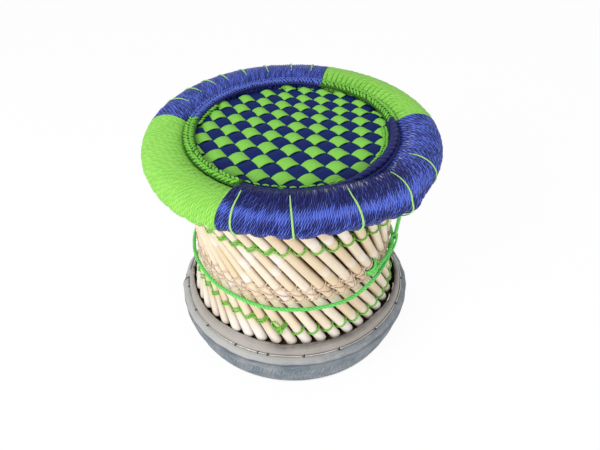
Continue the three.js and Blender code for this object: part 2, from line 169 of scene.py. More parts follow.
def loop(path, radius, sides, toward):
    """A tube along a path that closes on itself: the gradient is taken past both ends."""
    path, toward = (
        np.concatenate([v[..., -1:, :], v, v[..., :1, :]], -2)
        for v in (path, np.broadcast_to(toward, path.shape))
    )
    return tube(path, radius, sides, toward)[..., 1:-1, :, :]


def strands(path, length, thick, dip, lay, sides, toward):
    """A rope of three strands: its section's radius is thick - dip (1 - |cos 1.5(a - 2 pi length / lay)|),
    and its ends are drawn in."""
    a = angles(sides)
    radius = thick - dip * (1 - np.abs(np.cos(1.5 * (a[None, :] - TURN * length[:, None] / lay))))
    radius[[0, -1]] *= 0.6
    return tube(path, radius, sides, toward)


def surface(name, points, along, across, ring=False, around=True, tones=0.5, marks=0.0):
    """A mesh of quads over grids of points (bodies, rows, columns, 3). ring joins the last row to the
    first, and around the last column to the first; a tube that isn't a ring gets a face at each end.
    along and across give the pattern's place at each row and column, or only the last place of an even
    count from 0. tones and marks are shades for the material, spread over the grids."""
    points = points.reshape(-1, *points.shape[-3:])
    bodies, rows, columns = points.shape[:3]
    along, across = (
        np.linspace(0, place, count) if np.ndim(place) == 0 else place
        for place, count in ((along, rows + ring), (across, columns + around))
    )
    body, i, j = np.meshgrid(
        np.arange(bodies),
        np.arange(rows if ring else rows - 1),
        np.arange(columns if around else columns - 1),
        indexing="ij",
    )
    row = np.stack([i, i, i + 1, i + 1], -1).reshape(-1, 4)
    column = np.stack([j, j + 1, j + 1, j], -1).reshape(-1, 4)
    first = (body * rows * columns).reshape(-1, 1)
    quads = first + (row % rows) * columns + column % columns
    corners = [quads.ravel()]
    sizes = [np.full(len(quads), 4)]
    places = [np.stack([along[row], across[column]], -1).reshape(-1, 2)]
    if around and not ring:
        starts = np.arange(bodies)[:, None] * rows * columns
        face = np.arange(columns)[None, :]
        ends = np.concatenate([starts + face[:, ::-1], starts + (rows - 1) * columns + face])
        corners.append(ends.ravel())
        sizes.append(np.full(len(ends), columns))
        places.append(np.zeros((ends.size, 2)))
    flat = points.reshape(-1, 3)
    a, b, c = (flat[quads[:, n]] for n in (0, 1, 2))
    inside_out = np.sum(a * np.cross(b, c)) < 0
    corners, places, sizes = np.concatenate(corners), np.concatenate(places), np.concatenate(sizes)
    if inside_out:
        corners, places, sizes = corners[::-1], places[::-1], sizes[::-1]
    mesh = bpy.data.meshes.new(name)
    mesh.vertices.add(len(flat))
    mesh.vertices.foreach_set("co", (flat * MM).ravel())
    mesh.loops.add(len(corners))
    mesh.loops.foreach_set("vertex_index", corners.astype(np.int32))
    mesh.polygons.add(len(sizes))
    mesh.polygons.foreach_set("loop_start", (np.cumsum(sizes) - sizes).astype(np.int32))
    mesh.polygons.foreach_set("use_smooth", sizes == 4)
    mesh.uv_layers.new(name="lay").data.foreach_set("uv", places.astype(np.float32).ravel())
    for shade, values in (("tone", tones), ("mark", marks)):
        spread = np.broadcast_to(values, (bodies, rows, columns)).astype(np.float32)
        mesh.attributes.new(shade, "FLOAT", "POINT").data.foreach_set("value", spread.ravel())
    mesh.update(calc_edges=True)
    mesh.validate()
    piece = bpy.data.objects.new(name, mesh)
    bpy.context.scene.collection.objects.link(piece)
    return piece


def fit(piece, made_of, *nodes):
    """Finishes a piece: its material, the CAD nodes that it stands for, and its body. The record's slot
    that made_of carries with the material is not used."""
    material, slot = made_of
    piece.data.materials.append(material)
    if nodes:
        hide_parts(*nodes)
    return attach(piece, "root")


def make(name, points, along, across, made_of, *nodes, **look):
    """A surface as a finished piece."""
    return fit(surface(name, points, along, across, **look), made_of, *nodes)


# Materials

def linear(code):
    """An sRGB hex colour as linear red, green, blue and alpha."""
    values = [int(code[n : n + 2], 16) / 255 for n in (0, 2, 4)]
    return (*(v / 12.92 if v <= 0.04045 else ((v + 0.055) / 1.055) ** 2.4 for v in values), 1.0)


def blank(name, kind="materials"):
    """A new material or world, without nodes."""
    owner = getattr(bpy.data, kind).new(name)
    owner.use_nodes = True
    owner.node_tree.nodes.clear()
    return owner


def add(owner, kind, inputs=(), output=0, **settings):
    """Adds a shader node, whose kind may end in its operation, to a material or world and gives one of
    its outputs. The inputs are values, or the outputs that feed them, in the node's own order or by name
    or number."""
    kind, _, operation = kind.partition(" ")
    node = owner.node_tree.nodes.new("ShaderNode" + kind)
    if operation:
        node.operation = operation
    for key, value in settings.items():
        setattr(node, key, value)
    named = inputs if isinstance(inputs, dict) else dict(enumerate(inputs))
    for key, value in named.items():
        if isinstance(value, bpy.types.NodeSocket):
            owner.node_tree.links.new(value, node.inputs[key])
        else:
            node.inputs[key].default_value = value
    return node.outputs[output] if node.outputs else None


def clouds(owner, scale, detail, roughness=0.5):
    """Cloudy noise through the whole stool, scale clouds to the metre."""
    place = add(owner, "TexCoord", output="Object")
    noise = {"Vector": place, "Scale": scale, "Detail": detail, "Roughness": roughness}
    return add(owner, "TexNoise", noise)


def grain(owner, stretch, detail, roughness=0.5):
    """Noise that is drawn out along the piece, stretch clouds to the mm along it and across it."""
    place = add(owner, "Mapping", {"Vector": add(owner, "UVMap", uv_map="lay"), "Scale": stretch})
    return add(owner, "TexNoise", {"Vector": place, "Scale": 1.0, "Detail": detail, "Roughness": roughness})


def ridges(owner, value, factor, wave):
    """Rows of ridges: |wave(factor * value)|, where wave is SINE or COSINE."""
    angle = add(owner, "Math MULTIPLY", [value, factor])
    return add(owner, "Math ABSOLUTE", [add(owner, "Math " + wave, [angle])])


def layered(owner, colour, *layers):
    """A colour with others over it: each covers it where a pattern goes from low to high, up to a share."""
    colour = linear(colour)
    for pattern, low, high, most, over in layers:
        share = add(owner, "MapRange", [pattern, low, high, 0.0, most])
        colour = add(owner, "Mix", {0: share, 6: colour, 7: linear(over)}, 2, data_type="RGBA")
    return colour


def finish(owner, colour, shader, height, strength, distance):
    """Gives a material its Principled shader, with a bump of distance mm from a pattern's height."""
    bump = add(owner, "Bump", {"Strength": strength, "Distance": distance * MM, "Height": height})
    surfaced = add(owner, "BsdfPrincipled", {"Base Color": colour, "Normal": bump, **shader})
    add(owner, "OutputMaterial", [surfaced])
    return owner


def laid_cord(name, body, hollow, roughness, plies, lay, bump, fill, wound=0.0):
    """Laid cord. Its plies lean round it once in each lay: a ply's ridge is |cos(pi (plies * share round
    the cord - plies * length / lay))|, and fill is its power in the colour, less than 1 for full plies.
    The ridges take the body colour and the grooves between them the darker hollow one, as painted shade.
    On a wound face the share round the cord comes from the place between two grooves, as an arcsine,
    each turn starts its lay anywhere, the plies' strokes are painted highlights whose shades differ by up
    to wound, and painted glints lie on them where tone is high. The attribute mark paints either kind of
    cord lighter or darker; on the blue front it carries the winding's painted sheen and shade."""
    cord = blank(name)
    place = add(cord, "UVMap", uv_map="lay")
    length, round_share = (add(cord, "SeparateXYZ", [place], n) for n in (0, 1))
    begun = 0.0
    if wound:
        turn, length = length, round_share
        centred = add(cord, "Math MULTIPLY_ADD", [add(cord, "Math FRACT", [turn]), 1.96, -0.98])
        round_share = add(cord, "Math DIVIDE", [add(cord, "Math ARCSINE", [centred]), -TURN])
        whole = add(cord, "Math FLOOR", [turn])
        begun = add(cord, "TexWhiteNoise", {"W": whole}, "Value", noise_dimensions="1D")
    twist = add(cord, "Math MULTIPLY_ADD", [length, plies / lay, begun])
    phase = add(cord, "Math SUBTRACT", [add(cord, "Math MULTIPLY", [round_share, plies]), twist])
    ridge = ridges(cord, phase, math.pi, "COSINE")
    # Painted shade: the grooves between the plies take the darker hollow colour.
    depth = add(cord, "Math POWER", [ridge, fill])
    shade = add(cord, "Math MULTIPLY_ADD", [clouds(cord, 38.0, 3.0), 0.5, -0.25])
    # Painted highlights: on a wound face each ply's stroke is lighter or darker at random.
    if wound:
        ply = add(cord, "Math FLOOR", [add(cord, "Math ADD", [phase, 0.5])])
        stroke = add(cord, "CombineXYZ", [ply, whole])
        bright = add(cord, "TexWhiteNoise", {"Vector": stroke}, "Value", noise_dimensions="2D")
        lower = add(cord, "Math SUBTRACT", [shade, 0.55 * wound])
        shade = add(cord, "Math MULTIPLY_ADD", [bright, wound, lower])
    full = add(cord, "Math ADD", [depth, shade])
    mark = add(cord, "Attribute", output="Fac", attribute_name="mark")
    layers = [(add(cord, "Math ADD", [full, mark]), 0, 1, 1.0, body)]
    # Painted glints on the crests where tone is high.
    if wound:
        share = add(cord, "Math ADD", [depth, shade], use_clamp=True)
        crest = add(cord, "Math POWER", [share, 2.0])
        tone = add(cord, "Attribute", output="Fac", attribute_name="tone")
        layers.append((add(cord, "Math MULTIPLY", [tone, crest]), 0, 1, 1.0, "E4E6FA"))
    shader = {"Roughness": roughness, "Specular IOR Level": 0.22}
    return finish(cord, layered(cord, hollow, *layers), shader, ridge, 1.0, bump)


def peeled_reed():
    """Peeled reed: satin cream with long fibres and pink-grey stains, and a shade for each stem.
    Its flanks, where |sin| of the place round it is high, are painted brown as shade in the gaps
    between reeds; the scars at its joints are pale where mark is above 0 and brown where it is below."""
    reed = blank("peeled reed")
    fibres = grain(reed, (0.02, 1.1, 1.0), 4.0)
    tone, mark = (add(reed, "Attribute", output="Fac", attribute_name=n) for n in ("tone", "mark"))
    around = add(reed, "SeparateXYZ", [add(reed, "UVMap", uv_map="lay")], 1)
    painted_flank_shade = ridges(reed, around, 1 / REED_RADIUS, "SINE")
    colour = layered(
        reed, "F2E7D4",
        (tone, 0, 1, 1.0, "E4CEAA"),
        (fibres, 0.42, 0.75, 0.4, "C9A97C"),
        (clouds(reed, 26.0, 5.0, 0.6), 0.6, 0.8, 0.5, "CDB5AE"),
        # Painted shade: the flanks are browned where the neighbouring reeds shade them.
        (add(reed, "Math POWER", [painted_flank_shade, 9.0]), 0, 1, 0.75, "6E4A28"),
        (mark, 0, 1, 1.0, "F0E8E2"),
        (mark, 0, -1, 1.0, "8F6844"),
    )
    return finish(reed, colour, {"Roughness": 0.5, "IOR": 1.5}, fibres, 0.5, 0.2)


def unpeeled_reed(name, light, dark):
    """Unpeeled reed or dry grass: matt brown with dark streaks along it."""
    reed = blank(name)
    streaks = grain(reed, (0.03, 0.9, 1.0), 5.0)
    colour = layered(reed, light, (streaks, 0.35, 0.7, 1.0, dark))
    return finish(reed, colour, {"Roughness": 0.85}, streaks, 0.8, 0.5)


def cord_strip(name, body, hollow):
    """A flat strip of fine cords side by side, each a thread's width across with a thin line between.
    The line takes the darker hollow colour, as painted shade between the cords. mark is the shade that
    the strip lies in."""
    strip = blank(name)
    across = add(strip, "SeparateXYZ", [add(strip, "UVMap", uv_map="lay")], 1)
    rounded = ridges(strip, across, math.pi / THREAD_WIDTH, "SINE")
    line = add(strip, "Math POWER", [rounded, 0.3])
    uneven = add(strip, "Math MULTIPLY_ADD", [grain(strip, (0.12, 1.1, 1.0), 4.0), 1.6, 0.1])
    full = add(strip, "Math MULTIPLY", [line, uneven])
    mark = add(strip, "Attribute", output="Fac", attribute_name="mark")
    colour = layered(strip, hollow, (full, 0, 1, 1.0, body), (mark, 0, 1, 1.0, "000000"))
    return finish(strip, colour, {"Roughness": 0.6, "Specular IOR Level": 0.08}, rounded, 0.4, 0.25)


def worn_rubber(name, body, other, dust_and_painted_light, dark, roughness, streak):
    """Old tyre rubber, gone grey. tone turns its colour to the other one: on the tread a paler grey, as
    painted light on its shoulder, most on the left; on the sidewall a dark one, as painted shade along
    its upper edge by the reeds. Cloudy patches and scuffs that run round the tyre are dusty, and mark is
    pale where it is above 0 and dark where it is below. Part of the pale is painted light round the
    left, and the dark is painted shade in grooves, in slits and along the seam."""
    rubber = blank(name)
    scuffs = grain(rubber, streak, 5.0, 0.62)
    tone, mark = (add(rubber, "Attribute", output="Fac", attribute_name=n) for n in ("tone", "mark"))
    colour = layered(
        rubber, body,
        (tone, 0, 1, 1.0, other),
        (clouds(rubber, 30.0, 6.0, 0.65), 0.38, 0.72, 0.45, dust_and_painted_light),
        (scuffs, 0.55, 0.78, 0.6, dust_and_painted_light),
        (scuffs, 0.45, 0.25, 0.5, dark),
        # The pale of mark includes painted light, and its dark is painted shade.
        (mark, 0, 1, 0.8, dust_and_painted_light),
        (mark, 0, -1, 1.0, dark),
    )
    return finish(rubber, colour, {"Roughness": roughness}, scuffs, 0.7, 0.5)


def bright_wire():
    """Galvanised binding wire: pale and glossy, a little dulled."""
    wire = blank("galvanised wire")
    colour = layered(wire, "F2F0EA", (clouds(wire, 300.0, 2.0), 0, 1, 1.0, "C4C2BC"))
    shader = add(wire, "BsdfPrincipled", {"Base Color": colour, "Metallic": 0.85, "Roughness": 0.35})
    add(wire, "OutputMaterial", [shader])
    return wire


# Each of these is a material and the record's slot for it.
# Bright polypropylene: the wound cord is fine and close in green, and coarser, glossier and deeper in blue
GREEN_CORD = laid_cord("green winding cord", "9CDC62", "6CBA36", 0.45, 3, 24.0, 0.1, 0.5, 0.35), "cord_green"
BLUE_CORD = laid_cord("blue winding cord", "5C74E0", "080E52", 0.4, 4, 25.0, 0.35, 2.6, 0.85), "cord_blue"
GREEN_THREAD = laid_cord("green thread", "84CF4E", "4E9A26", 0.5, 2, 8.0, 0.25, 0.7), "cord_green"
PALE_THREAD = laid_cord("pale green thread", "AEE286", "8AC45E", 0.5, 2, 9.0, 0.15, 0.6), "cord_green"
SHADED_THREAD = laid_cord(
    "green cord in the border's hollows", "38701C", "17360A", 0.6, 2, 8.0, 0.3, 1.0
), "cord_green"
BLUE_THREAD = laid_cord("blue thread", "6A82E4", "182280", 0.45, 2, 8.0, 0.3, 1.0), "cord_blue"
# Navy cord, darkened further as painted shade: its rolls lie in the rim's shade and under the plait.
NAVY_THREAD = laid_cord("navy cord", "1A2270", "060930", 0.5, 2, 9.0, 0.3, 1.2), "cord_blue"
GREEN_ROPE = laid_cord("light green rope", "74E06C", "3FA548", 0.45, 3, 16.0, 0.2, 0.6), "rope_green"
# Natural fibre twine: pale, dry and matt, its two plies plain to see
TWINE = laid_cord("natural twine", "EFDCC8", "C8A288", 0.85, 2, 4.0, 0.3, 0.7), "twine"
# The seat's strips: fine polypropylene cords laid side by side, with hardly any gloss
GREEN_STRIP = cord_strip("green cord strip", "8CD25A", "74BE44"), "cord_green"
NAVY_STRIP = cord_strip("navy cord strip", "142868", "0A1440"), "seat_cord"
# Reeds: the outer ones are peeled and pale, the inner ones keep their bark. The inner ones' brown is
# darkened further as painted shade, for the hollow behind the outer reeds.
REED = peeled_reed(), "reed"
BROWN_REED = unpeeled_reed("unpeeled reed", "6A4A2A", "21150A"), "inner_reed"
GRASS = unpeeled_reed("dry grass", "7A6440", "2C2010"), "grass"
# Tyre rubber: the tread has a blue cast, the sidewall is warmer and scuffed round
# The tread's other colour, a pale grey, is painted light on its shoulder.
TREAD = worn_rubber(
    "worn tyre tread", "626F7A", "A4A2A1", "BEBDBD", "343D45", 0.7, (0.05, 0.2, 1.0)
), "tread_rubber"
# The sidewall's other colour, a dark brown-grey, is painted shade along its upper edge by the reeds.
BAND = worn_rubber(
    "worn tyre sidewall", "9A938D", "4E4742", "BDB6B0", "332D28", 0.55, (0.012, 0.5, 1.0)
), "sidewall_rubber"
# Galvanised steel wire: small bright glints along the seam
WIRE = bright_wire(), "wire"


# Camera, lights and stage

def aim(thing, direction, roll=0.0):
    """Turns a camera or lamp to look along a direction, with its top up and a roll about that line."""
    direction = unit(np.asarray(direction, float))
    right = unit(np.cross(direction, UP))
    top = np.cross(right, direction)
    rolled = math.cos(roll) * right + math.sin(roll) * top
    upright = np.cross(rolled, direction)
    turn = Matrix(np.stack([rolled, upright, -direction], -1).tolist())
    thing.rotation_euler = turn.to_euler()


def set_camera():
    """The photograph's view: fitted to the ellipses of rim, seat and tyre."""
    pitch, pan, roll = 0.7011, 0.0142, -0.0033
    data = bpy.data.cameras.new("camera")
    data.sensor_width = 36.0
    data.lens = 36.99
    camera = bpy.data.objects.new("camera", data)
    camera.location = (0.0, -0.7106, 0.7639)
    across = math.cos(pitch)
    aim(camera, (math.sin(pan) * across, math.cos(pan) * across, -math.sin(pitch)), roll)
    bpy.context.scene.collection.objects.link(camera)
    bpy.context.scene.camera = camera


def softbox(name, place, size, power_in_watts):
    """A square lamp that looks at the stool's middle."""
    data = bpy.data.lights.new(name, "AREA")
    data.size = size
    data.energy = power_in_watts
    lamp = bpy.data.objects.new(name, data)
    lamp.location = place
    aim(lamp, 0.18 * UP - place)
    bpy.context.scene.collection.objects.link(lamp)


def white_share(owner, share):
    """The share of plain white for rays straight from the camera, off gloss or through glass."""
    seen = 0.0
    for ray in ("Is Camera Ray", "Is Glossy Ray", "Is Transmission Ray"):
        seen = add(owner, "Math MAXIMUM", [seen, add(owner, "LightPath", output=ray)])
    return add(owner, "Math MULTIPLY", [seen, share])


def set_stage():
    """A pale floor that keeps a faint shadow, and a white sky. Inside the foot the floor is left dark."""
    far = 3000
    floor_points = np.array([[[x, y, -0.2] for y in (-far, far)] for x in (-far, far)], float)
    floor = surface("floor", floor_points, 1, 1, around=False)
    white = linear("FFFFFF")
    matt = blank("matt white floor")
    shades = {"Base Color": white, "Roughness": 0.9, "Emission Color": white, "Emission Strength": 0.1}
    shader = add(matt, "BsdfPrincipled", shades)
    place = add(matt, "TexCoord", output="Object")
    from_axis = add(matt, "VectorMath LENGTH", [place], "Value")
    outside = add(matt, "Math GREATER_THAN", [from_axis, TYRE_FOOT * MM])
    share = white_share(matt, add(matt, "Math MULTIPLY", [outside, 0.93]))
    glow = add(matt, "Emission", [white, 1.0])
    add(matt, "OutputMaterial", [add(matt, "MixShader", [share, shader, glow])])
    floor.data.materials.append(matt)
    studio = blank("studio", "worlds")
    ambient = add(studio, "Background", [linear("FAFAFA"), 0.52])
    plain = add(studio, "Background", [white, 1.0])
    add(studio, "OutputWorld", [add(studio, "MixShader", [white_share(studio, 1.0), ambient, plain])])
    bpy.context.scene.world = studio
    bpy.context.scene.view_settings.view_transform = "Standard"


set_camera()
softbox("key from the left", (-1.25, -1.3, 1.45), 1.0, 24.5)
softbox("fill from the front", (0.8, -1.7, 0.7), 1.2, 8.5)
softbox("top", (0.1, 0.3, 1.9), 1.2, 4)
set_stage()


# Cage

def cage_radius(height):
    """Distance from the axis to the outer reeds' centre lines, on the hyperboloid."""
    return np.hypot(WAIST_RADIUS, SLOPE * (height - WAIST_HEIGHT))


def straight(azimuth, waist_radius, slope, height):
    """A place on a reed's straight line, place at the waist + (height - waist) * run, and its run, which
    is upwards - slope * the way round."""
    a = np.radians(azimuth)
    run = UP - slope * np.stack([np.cos(a), np.sin(a), 0 * a], -1)
    return polar(azimuth, waist_radius, WAIST_HEIGHT) + (height - WAIST_HEIGHT)[..., None] * run, run


def reed_at(k, height):
    """A place on outer reed k: its centre, the reed's run, the way out and the way across."""
    centre, run = straight(PITCH * np.asarray(k, float), WAIST_RADIUS, SLOPE, np.asarray(height, float))
    run = unit(run) + 0 * centre
    out = centre * (1, 1, 0)
    out = unit(out - np.sum(out * run, -1, keepdims=True) * run)
    return centre, run, out, np.cross(out, run)


def peeled_reeds():
    """Each reed is a circle carried up its straight line, thinner to the top. A stem swells at its
    joints, every 60 to 120 mm, with a brown groove above each and a pale scar past it, and is a little
    bent and a little oval. Its foot, below the thread, is paler: partly its weathered end, and partly
    painted light that lifts the low reeds beside the tyre."""
    heights = np.concatenate([[0, 0.4, 1.6, 3.6], np.linspace(7, 223, 110), [225.6, 227.4, 228]])
    share = heights / heights[-1]
    ends = np.array([0.45, 0.78, 0.93, 0.99])
    sides = 20
    a = angles(sides)
    for k in ALL_REEDS:
        centre, _, out, across = reed_at(np.full(len(heights), k), BASE_RING_TOP + 1.6 + heights)
        radius = REED_RADIUS * (0.9 + 0.07 * abs(math.cos(REEDS * k))) * (1 - 0.04 * share)
        # The foot's pale mark is partly weathering and partly painted light.
        mark = chance.uniform(0.4, 0.9) * (1 - smooth(14, 36, heights))
        joints = chance.uniform(-30, 20) + np.cumsum(chance.uniform(60, 120, 5))
        for joint in joints:
            above = heights - joint
            radius = radius + 0.5 * bell(above, 0, 3.2) - 0.5 * bell(above, 4.0, 1.4)
            scar = chance.uniform(0.1, 0.9) * between(3, 7, 12, 24, above)
            mark = np.maximum(mark, scar) - 0.8 * bell(above, 4.0, 1.2)
        radius[:4] *= ends
        radius[-3:] *= ends[[2, 1, 0]]
        bend = ripple(share, (3.0, 7.0), 0.5)[:, None] * out
        bend = bend + ripple(share, (4.0, 9.0), 0.5)[:, None] * across
        oval = 1 + 0.025 * np.cos(2 * a + chance.uniform(0, 6))
        oval = oval + 0.02 * np.cos(3 * a + chance.uniform(0, 6))
        points = tube(centre + bend, radius[:, None] * oval, sides, out)
        name = f"{k + 1:02d}"
        shades = {"tones": chance.uniform(0, 1), "marks": mark[:, None]}
        pattern = 310.0 * k + heights, TURN * REED_RADIUS
        make("peeled_reed_" + name, points, *pattern, REED, "outer_reed_" + name, **shades)


def inner_cage():
    """The inner reeds lean the other way, just inside the outer ones, and stand in a ring of bound grass.
    The ring is a rounded square section whose wrapping makes ridges round it."""
    heights = np.linspace(BASE_RING_TOP - 4, RIM_UNDERSIDE + 2, 24)
    azimuth = PITCH * (ALL_REEDS + 0.5)[:, None]
    centre, _ = straight(azimuth, INNER_WAIST_RADIUS, -INNER_SLOPE, heights)
    radius = INNER_REED_RADIUS * (1 + ripple(heights, (0.11, 0.23), 0.03)) * np.ones((REEDS, 1))
    radius = radius * chance.uniform(1.08, 1.16, (REEDS, 1))
    points = tube(centre, radius[..., None], 10, centre * (1, 1, 0))
    make("inner_reeds", points, heights, 38, BROWN_REED, "base_ring_with_inner_reeds")

    azimuth = np.linspace(0, 360, 720, endpoint=False)[:, None]
    around = np.radians(azimuth)
    a = angles(28)
    ridge = 0.8 * np.abs(np.sin(around * 90 + a)) + ripple(around, (5, 11, 23), 0.5)
    swell = 1 + (ridge - 1.2) / 18.0
    radius, middle, wide, high = GRASS_RING
    radius = radius + wide * power(np.cos(a), 0.6) * swell
    points = polar(azimuth, radius, middle + high * power(np.sin(a), 0.6) * swell)
    make("grass_ring", points, 1728, 150, GRASS, ring=True)


peeled_reeds()
inner_cage()


# Lashings on the reeds

UPPER_THREAD_HEIGHT = 248.0
TWINE_HEIGHTS = 171.0, 152.0
# The thread near the foot, above the grass ring: [reed, height]. It climbs round the left.
LOWER_THREAD = np.array([
    (0, 22.5), (10, 21.5), (22, 26), (33, 41), (35, 46), (37, 42), (40, 39), (42, 24), (44, 22.5),
])


def round_reeds(carry, k, height, a, slide, lift, cord_radius):
    """Cord on reeds: it stands at the angles a round a reed, out from its centre line by the reed's and
    the cord's radius, and moved along it by slide. Angle 0 faces out, 90 degrees the next reed round."""
    centre, run, out, across = (v[..., None, :] for v in reed_at(k, height))
    spoke = np.cos(a) * out + np.sin(a) * across
    path = centre + (REED_RADIUS + lift + cord_radius) * spoke + slide * run
    return carry(path, cord_radius, 6, spoke)


def hoops(k, height, shift, lift, cord_radius, tilt):
    """Rings of cord round reeds, moved along them and tilted so that their outer side hangs lower."""
    a = angles(22)[:, None]
    slide = np.asarray(shift)[..., None, None] - tilt * (REED_RADIUS + lift + cord_radius) * np.cos(a)
    return round_reeds(loop, k, height, a, slide, lift, cord_radius)


def link(k, height, from_angle, to_angle, from_shift, to_shift, lift, cord_radius):
    """Stretches of cord that turn round a reed from one angle to another while they move along it."""
    t = np.linspace(0, 1, 12)[:, None]
    a = np.radians(from_angle + (to_angle - from_angle) * t)
    slide = from_shift + (to_shift - from_shift) * smooth(0, 1, t)
    return round_reeds(tube, k, height, a, slide, lift, cord_radius)


def knots(name, k, height, size, made_of):
    """Knots in the gap after a reed: short tubes along the reeds that are thickest in the middle, each
    with another one across it."""
    before = reed_at(k, height)[0]
    after, run, out, across = reed_at(k + 1, height)
    middle = ((before + after) / 2 + 5.0 * out)[:, None, :]
    run, out, across = run[:, None, :], out[:, None, :], across[:, None, :]
    t = np.linspace(-1, 1, 7)[:, None]
    along = middle + size * (1.7 * t * run + 0.5 * np.sin(2 * t) * across)
    crossed = middle + size * (1.6 * t * across - 0.6 * t * run + 0.7 * (1 - t * t) * out)
    radius = 0.72 * size * np.sqrt(np.clip(1 - 0.85 * t * t, 0, 1))
    shape = np.concatenate([tube(along, radius, 8, out), tube(crossed, 0.8 * radius, 8, out)])
    make(name, shape, 8, 1, made_of)


def thread_lashing(name, node, heights):
    """Green thread looped round each reed: one turn, or on the left two turns side by side with a knot
    in the gap, and stretches that lead on from reed to reed."""
    heights = heights + chance.uniform(-1.2, 1.2, REEDS)
    lean = np.degrees(np.arctan(SLOPE * (heights - WAIST_HEIGHT) / WAIST_RADIUS))
    azimuth = (PITCH * ALL_REEDS - lean) % 360
    left = (azimuth > 262) & (azimuth < 354)
    first = hoops(ALL_REEDS, heights, np.where(left, -1.7, 0.0), 0.1, 1.2, 0.12)
    second = hoops(ALL_REEDS[left], heights[left], chance.uniform(1.0, 2.4, left.sum()), 0.1, 1.1, 0.04)
    make(name, np.concatenate([first, second]), 56, 1, GREEN_THREAD, node, ring=True)
    make(name + "_links", link(ALL_REEDS, heights, -100, -40, -1.0, 1.5, 0.6, 1.1), 24, 1, GREEN_THREAD)
    tied = left & (chance.random(REEDS) < 0.8)
    knots(name + "_knots", ALL_REEDS[tied], heights[tied], 1.9, GREEN_THREAD)


def thread_bow():
    """Where the lower thread's ends meet: two long loops that stand off the reeds and hang a little."""
    a = TURN * np.linspace(0, 1, 40)[:, None]
    place = np.array([REEDS - 3.0]), np.array([BASE_RING_TOP + 31.0])
    centre, run, out, across = (v[0] for v in reed_at(*place))
    lift = REED_RADIUS + 1.6 + 3.2 * np.sin(a / 2)
    loops = np.array([
        centre + lift * out + wide * np.sin(a) * across + way * long * np.sin(a / 2) ** 2 * run
        for way, wide, long in ((1, 5.0, 17.0), (-0.35, 4.0, 14.0))
    ])
    make("lower_thread_bow", tube(loops, 1.15, 8, out), 48, 1, GREEN_THREAD)


def waist_twine():
    """Twine in two rows: a turn round each reed in each row, a slanting stretch from the lower row up
    to the next reed's upper row, and a knot in each gap."""
    shifts = chance.uniform(-1, 1, (2, REEDS))
    rows = [np.full(REEDS, height) for height in TWINE_HEIGHTS]
    turns = [hoops(ALL_REEDS, row, shift, 0.1, 0.95, 0.1) for row, shift in zip(rows, shifts)]
    make("waist_twine_turns", np.concatenate(turns), 56, 1, TWINE, "waist_twine_lashing", ring=True)
    middle = np.full(REEDS, sum(TWINE_HEIGHTS) / 2)
    slant = link(ALL_REEDS, middle, -82, 78, -10.0, 9.5, 0.1, 0.95)
    back = link(ALL_REEDS, middle, -80, 10, 8.0, -8.5, 0.1, 0.8)
    stretches = np.concatenate([slant, back[chance.random(REEDS) < 0.4]])
    make("waist_twine_slants", stretches, 34, 1, TWINE)
    for name, row in zip(("upper", "lower"), rows):
        knots(f"waist_twine_{name}_knots", ALL_REEDS, row, 1.7, TWINE)


thread_lashing("upper_loops", "upper_thread_lashing", np.full(REEDS, UPPER_THREAD_HEIGHT))
lower_heights = BASE_RING_TOP + np.interp(ALL_REEDS, *LOWER_THREAD.T)
thread_lashing("lower_loops", "lower_thread_lashing", lower_heights)
thread_bow()
waist_twine()


# Rope

ROPE_RADIUS = 2.75
# How far the twine stands out from the reeds
LASHING = 3.1
TIED_REED = 6
# [azimuth, share of the way down from the rim to the waist, distance out past the lashed reeds]
ROPE_TAIL = np.array([
    (71, 0.04, 0), (71, 0.2, 0), (71.5, 0.37, 0), (72, 0.56, 2), (73, 0.71, 3), (74.5, 0.845, 3),
    (76.5, 0.96, 2),
])
# [azimuth, height above the waist, distance out past the lashed reeds]
ROPE_HOOP = np.array([
    (80.5, -7, 0), (88, -14, 0), (100, -18, 0), (120, -20, 0), (140, -20, 0), (160, -20, 0), (180, -20, 0),
    (200, -20, 0), (220, -20, 0), (240, -19, 0), (260, -18, 0), (280, -18, 0), (298, -17, 0), (314, -19, 0),
    (330, -20, 0), (345, -23, 0), (360, -23, 0), (375, -24, 0), (390, -25, 0), (403, -20, 0), (412, -16, 0),
    (421, -12, 0), (429, -10, 0), (435, -9, 0),
])
# [azimuth, height, distance out past the reeds] of the end that leads on from the tie
ROPE_END = np.array([
    (45, 160, 0.5), (49, 164, 3), (55, 165, 3), (61, 164, 3), (67, 163, 3), (72, 165, 3.5), (75, 171, 3.5),
])


def curve_through(points, spacing):
    """A centripetal Catmull-Rom curve through points, at even steps along its length."""
    ends = np.concatenate([[2 * points[0] - points[1]], points, [2 * points[-1] - points[-2]]])
    steps = np.concatenate([[0], np.cumsum(np.linalg.norm(np.diff(ends, axis=0), axis=1) ** 0.5)])
    pieces = []
    for n in range(1, len(ends) - 2):
        p, k = ends[n - 1 : n + 3], steps[n - 1 : n + 3]
        t = np.linspace(k[1], k[2], 24, endpoint=n == len(ends) - 3)[:, None]
        a = [((k[i + 1] - t) * p[i] + (t - k[i]) * p[i + 1]) / (k[i + 1] - k[i]) for i in range(3)]
        b = [((k[i + 2] - t) * a[i] + (t - k[i]) * a[i + 1]) / (k[i + 2] - k[i]) for i in range(2)]
        pieces.append(((k[2] - t) * b[0] + (t - k[1]) * b[1]) / (k[2] - k[1]))
    line = np.concatenate(pieces)
    length = lengths_along(line)
    even = np.linspace(0, length[-1], int(length[-1] / spacing) + 1)
    return np.stack([np.interp(even, length, line[:, n]) for n in range(3)], -1), even


def rope_piece(name, azimuth, out, heights, *nodes):
    """Rope of three strands, laid through places at a distance out past the reeds."""
    radius = cage_radius(heights) + REED_RADIUS + ROPE_RADIUS + out
    path, length = curve_through(polar(azimuth, radius, heights), 1.3)
    points = strands(path, length, ROPE_RADIUS, 0.55, 20.0, 18, path * (1, 1, 0))
    return make(name, points, length, 1, GREEN_ROPE, *nodes), path, length[-1]


